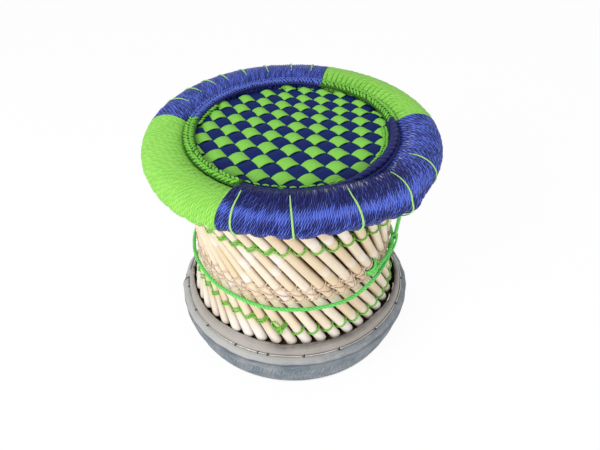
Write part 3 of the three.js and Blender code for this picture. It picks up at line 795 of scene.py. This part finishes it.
def waist_rope():
    """The rope, laid along its route. A binding ties its end to its tail, and turns of thread go round
    one reed and the twine on it."""
    down = RIM_UNDERSIDE + ROPE_TAIL[:, 1] * (WAIST_HEIGHT - RIM_UNDERSIDE)
    heights = np.concatenate([down, WAIST_HEIGHT + ROPE_HOOP[:, 1]])
    azimuth, _, out = np.concatenate([ROPE_TAIL, ROPE_HOOP]).T
    rope, path, length = rope_piece("waist_rope_laid", azimuth, LASHING + out, heights, "waist_rope")

    ends = np.stack([path[np.abs(path[:, 2] - 172).argmin()], path[-1] - 5.0 * unit(path[-1] - path[-2])])
    middle, way = ends.mean(0), ends[1] - ends[0]
    outward = unit(middle * (1, 1, 0))
    run = unit(np.cross(outward, way))
    t = angles(28)[:, None]
    spoke = (np.linalg.norm(way) / 2 + 4.0) * np.cos(t) * unit(way) + 4.2 * np.sin(t) * outward
    wraps = middle + spoke + np.array([-4.8, -1.6, 1.6, 4.8])[:, None, None] * run
    binding = make("rope_binding", loop(wraps, 1.6, 8, spoke), 56, 1, GREEN_ROPE, ring=True)
    place = np.full(5, TIED_REED), np.full(5, 164.0)
    turns = hoops(*place, np.linspace(-6.2, 6.2, 5), LASHING - 0.1, 1.8, 0.1)
    make("rope_tie_turns", turns, 56, 1, GREEN_ROPE, "waist_rope_tie", ring=True)
    rope_piece("rope_end_turned_back", ROPE_END[:, 0], ROPE_END[:, 2], ROPE_END[:, 1])


waist_rope()


# Rim

def rim_point(azimuth, angle, inset):
    """A point of the wound ring's ellipse, its angle counted from the outer side towards the top."""
    radius = RIM_CENTRE + (RIM_WIDE / 2 - inset) * np.cos(angle)
    return polar(azimuth, radius, RIM_MIDDLE + (RIM_HIGH / 2 - inset) * np.sin(angle))


# How deep the notch after each reed is in the winding's lower edge; those in front were measured
NOTCH_DEPTHS = chance.choice([1.5, 3.0, 5.0, 8.0], REEDS, p=[0.3, 0.3, 0.22, 0.18])
NOTCH_DEPTHS[:11] = [2.5, 4.0, 8.0, 3.0, 9.0, 4.0, 3.0, 3.0, 4.0, 8.0, 4.0]
NOTCH_SHIFTS = chance.uniform(-1.2, 1.2, REEDS)
NOTCH_SPACING = 26.2
# [azimuth, how far the lower edge is drawn in]: it hangs lower at both sides of the front
LOWER_EDGE = np.array([
    (-180, 1), (-100, 0), (-62, -1), (-46, -3), (-34, -2), (-27, 0.5), (-20, 2.5), (-8, 2.5), (4, 2.5),
    (12, 3.5), (24, 3), (34, 1), (40, -2), (45, -6), (50, -6), (53, -1), (60, 0), (100, 0), (180, 1),
])


def from_notch(azimuth):
    """The nearest notch's number, and the distance from it in shares of a reed's pitch."""
    lean = math.degrees(math.atan(SLOPE * (RIM_UNDERSIDE - WAIST_HEIGHT) / WAIST_RADIUS))
    number = (azimuth + lean - 3.7) / PITCH - 0.5
    return np.round(number).astype(int) % REEDS, number - np.round(number)


def bundle_inset(azimuth, angle):
    """How far the winding is drawn in under the rim. It passes between the reeds' tips in bundles, so its
    lower edge has a notch by each reed, deepest in the middle: depth * exp(-(distance / 3.4 mm)^1.4),
    and swells a little between two notches. In front it also lies slack on the seat's edge."""
    nearest, share = from_notch(azimuth)
    distance = share * NOTCH_SPACING - NOTCH_SHIFTS[nearest]
    notch = NOTCH_DEPTHS[nearest] * np.exp(-np.abs(distance / 3.4) ** 1.4)
    swell = 1.2 * (1 - (distance / 13.5) ** 2)
    edge = np.interp((azimuth + 180) % 360 - 180, *LOWER_EDGE.T)
    degrees = np.degrees(angle)
    drawn_in = notch * smooth(0, 28, -degrees) + (edge - swell) * smooth(-12, 22, -degrees)
    slack = 6.5 * smooth(85, 120, degrees) * between(-29, -24, 22, 48, azimuth)
    return drawn_in * smooth(-170, -130, degrees) - slack


# [section angle, how much lighter or darker the front of the blue winding is there], from its sheen
SHEEN = np.array([
    (-40, -0.32), (0, -0.25), (20, -0.35), (30, -0.25), (40, 0.1), (45, 0.4), (50, 0.5), (60, 0.26),
    (67, -0.17), (75, -0.48), (90, -0.75), (110, -0.85), (180, -0.85),
])
SHEEN_ANGLE = 50


def sheen(azimuth, degrees):
    """A laid winding shines in one band along its top. It is narrow in front, and lies lower and
    broader towards the right, where it fades out."""
    turned = smooth(18, 42, azimuth)
    from_band = (degrees - SHEEN_ANGLE + 20 * turned) * (1 - 0.35 * turned)
    return np.interp(SHEEN_ANGLE + from_band, *SHEEN.T) * (1 - smooth(46, 66, azimuth))


def winding(colour, start, end, made_of, gather):
    """Cord wound round the rim: across the turns the surface is a row of half circles, and along each
    turn it follows the ring's section. Turns lie a little high or low, and wander sideways. Near the
    plait they dive in threes, with a slit of depth gather between two threes. Some turns of a thin strip
    along the right glint."""
    turns = int(round((end - start) / 360 * RIM_TURNS))
    steps = 8
    turn = np.arange(turns * steps + 1)[:, None] / steps
    angle = math.pi - angles(64)[None, :]
    degrees = np.degrees(angle)
    starts, middles = np.arange(turns + 1), np.arange(turns + 1) + 0.5
    ridge = 1.35 * (1 - np.sqrt(np.clip(1 - (2 * (turn % 1) - 1) ** 2, 0, 1)))
    slit = gather * np.abs(2 * ((turn / 3) % 1) - 1) ** 6 * smooth(94, 118, degrees)
    level = np.interp(turn, middles, chance.normal(0, 0.22, turns + 1))
    sway = np.interp(turn, starts, chance.normal(0, 0.14, turns + 1)) * np.cos(angle + 1.0)
    clear_of_ends = smooth(0, 3, turn) * smooth(0, 3, turns - turn)
    wander = ripple(turn, (0.05, 0.13), 0.6) * np.sin(angle) * clear_of_ends
    azimuth = start + (end - start) * (turn + sway + wander) / turns
    inset = ridge + slit + 0.25 - level + bundle_inset(azimuth, angle)
    bundled = smooth(5, 40, -degrees) * smooth(-160, -120, degrees) * clear_of_ends
    _, share = from_notch(azimuth)
    points = rim_point(azimuth + 1.1 * np.sin(TURN * share) * bundled, angle, inset)
    glints = bell(degrees, 112 - ripple(turn, (0.04, 0.11), 9.0), 7.0)
    glints = glints * between(2, 12, 78, 92, azimuth)
    glints = glints * np.interp(turn, middles, chance.choice([0.0, 1.0], turns + 1))
    length = lengths_along(rim_point(0.0, np.append(angle[0], angle[0, 0] - TURN), 0.0))
    shades = {"tones": 0.6 * glints, "marks": sheen(azimuth, degrees) if colour == "blue_front" else 0.0}
    name = "rim_winding_" + colour
    make(name, points, turn[:, 0], length, made_of, "rim_wrap_" + colour, **shades)


def rim_core():
    """The bundle of grass inside the winding, drawn in by each notch as the winding is."""
    azimuth = np.linspace(0, 360, 880, endpoint=False)[:, None]
    angle = math.pi - angles(32)
    inset = CORE_INSET + np.maximum(bundle_inset(azimuth, angle), 0)
    points = rim_point(azimuth, angle, inset)
    make("rim_core_of_grass", points, TURN * RIM_CENTRE, 150, GRASS, "rim_core", ring=True)


def stitches(azimuth, radius, height, reach, slant, thick):
    """Pairs of stitches that lean back from a middle line to both sides. Each is a tube that swells and
    thins, from the middle line to reach mm out and slant mm back."""
    t = np.linspace(0, 1, 8)
    azimuth = azimuth[:, None]
    made = []
    for way in (-1, 1):
        place = azimuth - np.degrees(slant / radius) * t + chance.normal(0, 0.2, azimuth.shape)
        out = radius + way * (0.4 + (reach - 0.4) * t ** 0.9) + chance.normal(0, 0.3, azimuth.shape)
        above = height + 1.3 * np.sin(np.pi * t) - 2.2 * t + chance.normal(0, 0.25, azimuth.shape)
        swell = thick * np.sqrt(np.clip(np.sin(np.pi * (0.1 + 0.83 * t)), 0, 1))
        radii = swell * chance.uniform(0.88, 1.1, azimuth.shape)
        made.append(tube(polar(place, out, above), radii[..., None], 8, UP))
    return np.concatenate(made)


def border_roll(colour, start, end, made_of, height=PLAIT_HEIGHT - 1.2):
    """The flat roll that the border's stitches lie on: an ellipse carried along an arc."""
    azimuth = np.linspace(start, end, int((end - start) * 2))[:, None]
    a = angles(20)
    points = polar(azimuth, PLAIT_RADIUS + 8.0 * np.cos(a), height + 3.4 * np.sin(a))
    make("border_roll_" + colour, points, np.radians(azimuth[:, 0]) * PLAIT_RADIUS, 1, made_of)


def plait(colour, start, end, made_of, spacing, thick):
    """The chain of stitches along the rim's inner edge."""
    count = int(round(np.radians(end - start) * PLAIT_RADIUS / spacing))
    azimuth = start + (end - start) * (np.arange(count) + 0.5) / count
    shape = stitches(azimuth, PLAIT_RADIUS + 0.5, PLAIT_HEIGHT + 2.6, 6.4, 1.3 * spacing, thick)
    make("plait_" + colour, shape, 11, 1, made_of)


def front_roll(start, end):
    """The front's border: a roll of three strands in the shade of the rim, low and thin in the middle of
    the front, and thick on the right."""
    azimuth = np.linspace(start, end, 330)
    right = smooth(20, 55, azimuth)
    thick = 3.4 + 2.6 * right
    path = polar(azimuth, PLAIT_RADIUS - 1.0 + 1.6 * (1 - right), PLAIT_HEIGHT - 6.0 + thick)
    length = np.radians(azimuth) * PLAIT_RADIUS
    points = strands(path, length, thick[:, None], 1.3, 33.0, 24, UP)
    make("border_front_roll", points, length, 4, NAVY_THREAD)


# [azimuth at the inner edge, azimuth below, section angle at the inner edge], in front and at the back
MARKER_TIES = np.array([
    (-21.4, -19.3, 106), (-0.9, 0.3, 106), (23.5, 22.3, 106), (46.0, 42.6, 106), (63.3, 61.7, 106),
    *((a, a, 108) for a in (169.4, 180.3, 193.1, 205.2, 215.5, 224.3, 233.7, 245.1)),
])


def marker_ties():
    """Flat green ties laid across the blue winding, from the inner edge over the outside to below. The
    section is an ellipse, given in polar form."""
    top, bottom, first = MARKER_TIES.T[:, :, None]
    t = np.linspace(0, 1, 48)
    angle = np.radians(first + (-118 - first) * t)
    azimuth = top + (bottom - top) * t + 0.35 * np.sin(5 * t + top)
    paths = rim_point(azimuth, angle, np.minimum(bundle_inset(azimuth, angle), 5.0) - 0.35)
    a = angles(10)
    radius = 1 / np.sqrt((np.cos(a) / 0.8) ** 2 + (np.sin(a) / 1.4) ** 2)
    thinner = 1 - 0.45 * np.abs(2 * t - 1)[:, None] ** 3
    points = tube(paths, radius * thinner, 10, unit(paths - RIM_MIDDLE * UP))
    make("marker_ties", points, 110, 1, PALE_THREAD)


starts = [*COLOUR_STARTS.values(), COLOUR_STARTS["green_left"] + 360]
for colour, start, end in zip(COLOUR_STARTS, starts, starts[1:]):
    arc = colour, start, end
    if colour.startswith("green"):
        winding(*arc, GREEN_CORD, 4.5)
        border_roll(*arc, SHADED_THREAD)
        plait(*arc, GREEN_THREAD, 6.5, 1.9)
    else:
        winding(*arc, BLUE_CORD, 1.0)
        if colour == "blue_back":
            border_roll(*arc, NAVY_THREAD)
            plait(*arc, BLUE_THREAD, 5.0, 1.5)
        else:
            border_roll(*arc, NAVY_THREAD, PLAIT_HEIGHT - 5.0)
            front_roll(start, end)
marker_ties()
rim_core()


# Seat

def weave_place(along, across):
    """A place in the weave, in cells along and across the green strips, in mm from the stool's axis. Two
    diagonal steps, m and n, reach the next green cells to the right and to the back; the hand weave is
    slacker in front, so their squares bend the rows: x and y are c0 + c1 m + c2 n + c3 m^2 + c4 m n +
    c5 n^2."""
    m, n = (along - across) / 2, (along + across) / 2
    terms = np.stack(np.broadcast_arrays(1.0, m, n, m * m, m * n, n * n), -1)
    return terms @ WEAVE_X, terms @ WEAVE_Y


def strip(number, green, rise, half_width):
    """One strip: a flat closed section carried over and under the strips that it crosses. Its height is
    rise * cos(pi * cell), its edges draw in where it dives, and each of its cords is a ridge."""
    cell = np.linspace(-8, 8, 16 * 12 + 1)
    centre = number + chance.normal(0, 0.015)
    inside = np.hypot(*weave_place(*((cell, centre) if green else (centre, cell)))) < SEAT_EDGE
    if inside.sum() < 6:
        return None
    cell = np.linspace(cell[inside][0], cell[inside][-1], max(12, int(np.ptp(cell[inside]) * 12)))
    wave = power((1 if green else -1) * np.cos(np.pi * (cell + number)), 0.85)
    a = angles(44)
    across = power(np.cos(a), 0.75)
    draw_in = 1 - 0.06 * (1 - np.abs(wave)) + ripple(cell, (1.3, 2.9), 0.02)
    offset = across[None, :] * half_width * draw_in[:, None]
    ridges = 0.08 * np.abs(np.sin(np.pi * across * half_width / THREAD_WIDTH))
    thickness = power(np.sin(a), 0.4) + np.sign(np.sin(a)) * ridges
    place = np.broadcast_to(cell[:, None], offset.shape), centre + offset / STRIP_PITCH
    x, y = weave_place(*(place if green else place[::-1]))
    crown = 0.9 * np.maximum(wave, 0)[:, None] * (1 - across[None, :] ** 2)
    z = SEAT_HEIGHT + rise * wave[:, None] + crown + thickness[None, :]
    return np.stack([x, y, z], -1), cell * STRIP_PITCH, np.append(across, across[0]) * half_width


def weave(name, green, made_of, rise, half_width, *nodes):
    """All the strips of one colour, as one piece. They lie in the rim's shade along the front."""
    made = [s for s in (strip(n, green, rise, half_width) for n in range(-8, 9)) if s]
    parts = []
    for n, (points, along, across) in enumerate(made):
        azimuth = np.degrees(np.arctan2(points[..., 0], -points[..., 1]))
        edge = smooth(96, 130, np.hypot(points[..., 0], points[..., 1]))
        shadow = 0.45 * edge * between(-62, -30, 38, 70, azimuth)
        parts.append(surface(f"{name}_{n}", points, along, across, marks=shadow))
    with bpy.context.temp_override(active_object=parts[0], selected_editable_objects=parts):
        bpy.ops.object.join()
    parts[0].name = name
    fit(parts[0], made_of, *nodes)


weave("seat_strips_navy", False, NAVY_STRIP, 1.4, 10.3, "seat_weave")
weave("seat_strips_green", True, GREEN_STRIP, 2.7, 9.5)


def edge_chains():
    """Short chains of green stitches that lie on the seat beside its blue border."""
    made = []
    for start, end, first, last in ((-121, -98, 127.5, 128.5), (54, 93, 127.5, 123.5)):
        count = int(round(np.radians(end - start) * first / 5.4))
        azimuth = np.linspace(start, end, count)
        radius = np.linspace(first, last, count)[:, None]
        made.append(stitches(azimuth, radius, SEAT_HEIGHT + 6.2, 3.2, 6.5, 1.4))
    make("edge_chains", np.concatenate(made), 9, 1, GREEN_THREAD)


# Dashes along the seat's edge: [first azimuth, last azimuth, radius, height, length, spacing]
DASHES = [(-27, 24, 127.0, 329.2, 8.2, 10.2), (164, 187, 122.5, 326.8, 4.6, 6.4)]


def running_stitches():
    """Dashes of green thread along the seat's edge, in front and at the back, each a little bowed."""
    made = []
    t = np.linspace(0, 1, 8)
    for start, end, radius, height, long, apart in DASHES:
        count = int(round(np.radians(end - start) * radius / apart))
        first = np.linspace(start, end, count)[:, None] + chance.normal(0, 0.35, (count, 1))
        place = first + np.degrees(long / radius) * t
        path = polar(place, radius + chance.normal(0, 0.4, (count, 1)), height + 0.9 * np.sin(np.pi * t))
        radii = 0.135 * long * np.sqrt(np.clip(np.sin(np.pi * (0.1 + 0.8 * t)), 0, 1))
        made.append(tube(path, radii[:, None], 8, UP))
    make("edge_dashes", np.concatenate(made), 6, 1, GREEN_THREAD)


edge_chains()
running_stitches()


# Tyre shoe

def along_profile(keys, count):
    """Places spread evenly along a line of [radius, height] points, and their distances along it."""
    keys = np.array(keys, float)
    length = lengths_along(keys)
    even = np.linspace(0, length[-1], count)
    return np.interp(even, length, keys[:, 0]), np.interp(even, length, keys[:, 1]), even


def tyre_radius(height):
    """The tread's outer face leans out from the floor along a parabola to its widest place."""
    share = 1 - np.minimum(1, height / TYRE_WIDEST_HEIGHT)
    return TYRE_WIDEST - (TYRE_WIDEST - TYRE_FOOT) * share ** 2


def tyre_bulge(azimuth, height):
    """The old tyre is out of round: its upper part stands out by up to 3.4 mm on the right."""
    return 3.4 * bell(azimuth, 88, 34) * smooth(15, 55, height)


def left_side(azimuth, low, high):
    """1 round the tyre's left, from low to high, and 0 elsewhere, with soft ends."""
    return between(low, low + 26, high - 26, high, (azimuth + 180) % 360 + 180)


def tyre_tread():
    """The tread: a closed section turned round the stool. A groove sets its shoulder off, fine ribs cross
    the shoulder, two rows of short slanting grooves are sunk in the face, and it is worn uneven."""
    climb = np.linspace(2.5, TYRE_WIDEST_HEIGHT, 10)
    outer = [(TYRE_FOOT - 2.5, 0.0), (TYRE_FOOT - 0.6, 0.9), *zip(tyre_radius(climb), climb)]
    lip = [(TYRE_WIDEST - 1.0, 57.0), (TYRE_WIDEST - 4.4, 60.4), (168.9, TYRE_HEIGHT)]
    lip.append((166.7, TYRE_HEIGHT - 0.4))
    inner = [(166.4, 57.5), (169.0, 53.0), (165.5, 30.0), (158.0, 8.0), (154.0, 5.0), (129.0, 5.0)]
    under = [(128.0, 4.0), (128.0, 1.0), (129.0, 0.0), (TYRE_FOOT - 2.5, 0.0)]
    face_r, face_z, face_length = along_profile(outer + lip, 52)
    rest_r, rest_z, rest_length = along_profile(lip[-1:] + inner + under, 22)
    radius, height = np.concatenate([face_r, rest_r[1:-1]]), np.concatenate([face_z, rest_z[1:-1]])
    across = np.concatenate([face_length, face_length[-1] + rest_length[1:]])
    steps = 1140
    azimuth = np.linspace(0, 360, steps, endpoint=False)[:, None]
    around = np.radians(azimuth)
    on_face = (np.arange(len(radius)) < len(face_r)).astype(float)

    def sipes(low, high, lean, start):
        """1 in a row of short slanting grooves between two heights, 14 mm apart and 1.6 mm wide, and 1
        along their edges."""
        number = azimuth * 0.2167 + start + lean * (height - low)
        away = np.abs((number + 0.5) % 1 - 0.5)
        within = on_face * between(low, low + 2, high - 2, high, height)
        return within * (1 - smooth(0.04, 0.1, away)), within * smooth(0.1, 0.04, np.abs(away - 0.12))

    grooves, edges = np.add(sipes(9, 21, 0.02, 0.0), sipes(27, 41, -0.02, 0.5))
    shoulder = on_face * bell(height, SHOULDER_GROOVE, 1.2)
    foot_line = on_face * 0.7 * bell(height, 4.5, 0.9)
    above = on_face * smooth(54.5, 56.5, height)
    ribs = above * 0.35 * np.abs(np.sin(around * 285))
    worn = ripple(around, (7, 19, 41), 0.5) * smooth(2, 20, height) * on_face
    lumps = 2.2 * bell(azimuth, 268, 2.2) - 1.8 * bell(azimuth, 274, 3.0)
    sunk = 1.3 * grooves + 1.5 * shoulder + foot_line + ribs + worn + 0.4 * on_face
    bulge = tyre_bulge(azimuth, height)
    points = polar(azimuth, radius + bulge - sunk - lumps * above, height + 0.5 * bulge)
    dusty = (0.55 * edges + 0.35 * above * (ribs > 0.25)) * chance.uniform(0.3, 1.0, (steps, 1))
    # Painted light: the shoulder is painted paler round the left, where the key lamp falls, by mark here and
    # by tone below, which also makes it a little paler all round.
    pale = 0.8 * above * left_side(azimuth, 232, 356)
    # Painted shade: the slit, the shoulder groove and the sipes are painted darker in the marks below.
    slit = above * bell(azimuth, 272, 1.0)
    shades = {
        "tones": above * (0.15 + 0.85 * left_side(azimuth, 215, 388)),
        "marks": dusty + pale - 0.7 * shoulder - 0.35 * grooves - 2.0 * slit,
    }
    pattern = TURN * 170, across
    make("tyre_tread_worn", points, *pattern, TREAD, "tyre_tread", ring=True, **shades)


def sidewall_band():
    """The sidewall: a thin closed section, bulging from inside the tread up and in to the reeds. Moulded
    lines run round it, it lies in slack waves, and its ends meet in folds at the left."""
    outer = [(166.0, 46.0), (166.2, 60.5), (166.0, 63.0), (164.9, 68.0), (162.6, 73.5), (159.9, 77.6)]
    rim = [(158.9, 78.7), (158.0, BAND_TOP)]
    inner = [(157.0, 78.6), (156.6, 77.0), (162.0, 66.0), (163.0, 60.0), (163.0, 46.0), (164.4, 45.6)]
    r, z, length = along_profile(outer + rim + inner + outer[:1], 64)
    r, z = r[:-1], z[:-1]
    azimuth = np.linspace(0, 360, 900, endpoint=False)[:, None]
    a = np.radians(azimuth)
    climb = smooth(61, 79, z)
    outside = (np.arange(len(r)) < 36).astype(float)
    slack = ripple(a, (3, 5, 9), 0.9) * climb
    edge = ripple(a, (4, 11, 17, 29), 0.9) * climb
    lines = sum(0.5 * bell(z, height, 0.6) for height in (65.6, 70.0, 74.6)) * outside
    lap_distance = (azimuth - 276.0 + 0.3 * (z - 62)) * 2.8
    lap = 1.6 * between(-14, 0, 0, 2, lap_distance) * climb * outside
    near_joint = bell(azimuth, 271.0, 7.0) * climb
    folds = near_joint * ripple(azimuth * 0.8 + z * 0.25, (1.0, 1.9, 2.7), 0.9)
    bulge = tyre_bulge(azimuth, z)
    radius = r + bulge + lines + lap + folds + slack
    points = polar(azimuth, radius, z + 0.5 * bulge + edge + 0.8 * near_joint)
    # Painted light and shade: the outside is painted paler round the left, where the key lamp falls, and
    # darker in a line along the seam.
    pale = 0.6 * left_side(azimuth, 232, 356) - 0.5 * bell(z, 63.0, 0.7)
    # Painted shade: tone gives the band's upper edge, by the reeds, the other, darker colour.
    shades = {"tones": smooth(69, 78.5, z), "marks": 0.35 * lines + outside * pale}
    pattern = TURN * 162, length
    name = "sidewall_band_worn"
    make(name, points, *pattern, BAND, "tyre_sidewall_band", ring=True, **shades)


# Azimuths of the slits across the seam; those that the photo shows were measured
SEAM_SLITS = np.array([
    4.3, 22.1, 44.8, 65.8, 84.6, 104.0, 124.0, 143.0, 163.0, 182.0, 202.0, 221.0, 241.0, 261.0, 279.0,
    297.0, 309.8, 329.5, 341.7, 346.5, 364.3,
])
BAND_EDGE_WIRES = np.array([61.0, 70.0, 92.0, 149.0, 201.0, 262.0])


def seam_stitches():
    """Wire stitches along the seam, each a little bowed and sunk in at the left. A short dark tube crosses
    the seam where two of them meet, as painted shade in the slit there; the seam stands open for a length
    at the left, with a dark tube in it as painted shade; and other bits of wire lie on the band's edge."""
    t = np.linspace(0, 1, 16)
    first, last = SEAM_SLITS[:-1, None], SEAM_SLITS[1:, None]
    azimuth = first + (last - first) * (0.03 + 0.94 * t)
    sunk = left_side(azimuth, 226, 322)
    bow = np.sin(np.pi * t) ** 0.5
    out = tyre_bulge(azimuth, TYRE_HEIGHT)
    height = 63.2 + 0.5 * out + 0.6 * bow - 0.7 * sunk + ripple(azimuth, (0.3, 0.7), 0.2)
    path = polar(azimuth, 167.2 + out + 0.4 * bow - 0.9 * sunk, height)
    wires = tube(path, (0.6 - 0.4 * sunk)[..., None], 6, UP)
    make("seam_stitches", wires, 44, 1, WIRE, "tyre_seam_wire")
    s = np.linspace(0, 1, 8)
    bow = np.sin(np.pi * s)
    out = tyre_bulge(first, TYRE_HEIGHT)
    # Painted shade: each slit is a dark tube across the seam.
    path = polar(first + 0.4 * s, 169.2 + out - 4.6 * s, 62.2 + 0.5 * out + 2.4 * s + 0.4 * bow)
    make("seam_slit_shades", tube(path, 0.85, 6, UP), 7, 1, BAND, marks=-1.0)
    # Painted shade: the open stretch of the seam is a dark tube.
    widths = 1.3 * np.sin(np.pi * np.linspace(0.04, 0.96, 24))[:, None] ** 0.5
    opening = tube(polar(np.linspace(251, 267, 24), 168.0, 62.7), widths, 8, UP)
    make("seam_opening_shade", opening, 46, 8, BAND, marks=-1.0)
    path = polar(BAND_EDGE_WIRES[:, None] + 4.5 * s, 159.4 - 0.9 * s + 0.8 * bow, 78.6 + 2.2 * s)
    make("band_edge_stitches", tube(path, 0.75, 6, UP), 14, 1, WIRE)


tyre_tread()
sidewall_band()
seam_stitches()
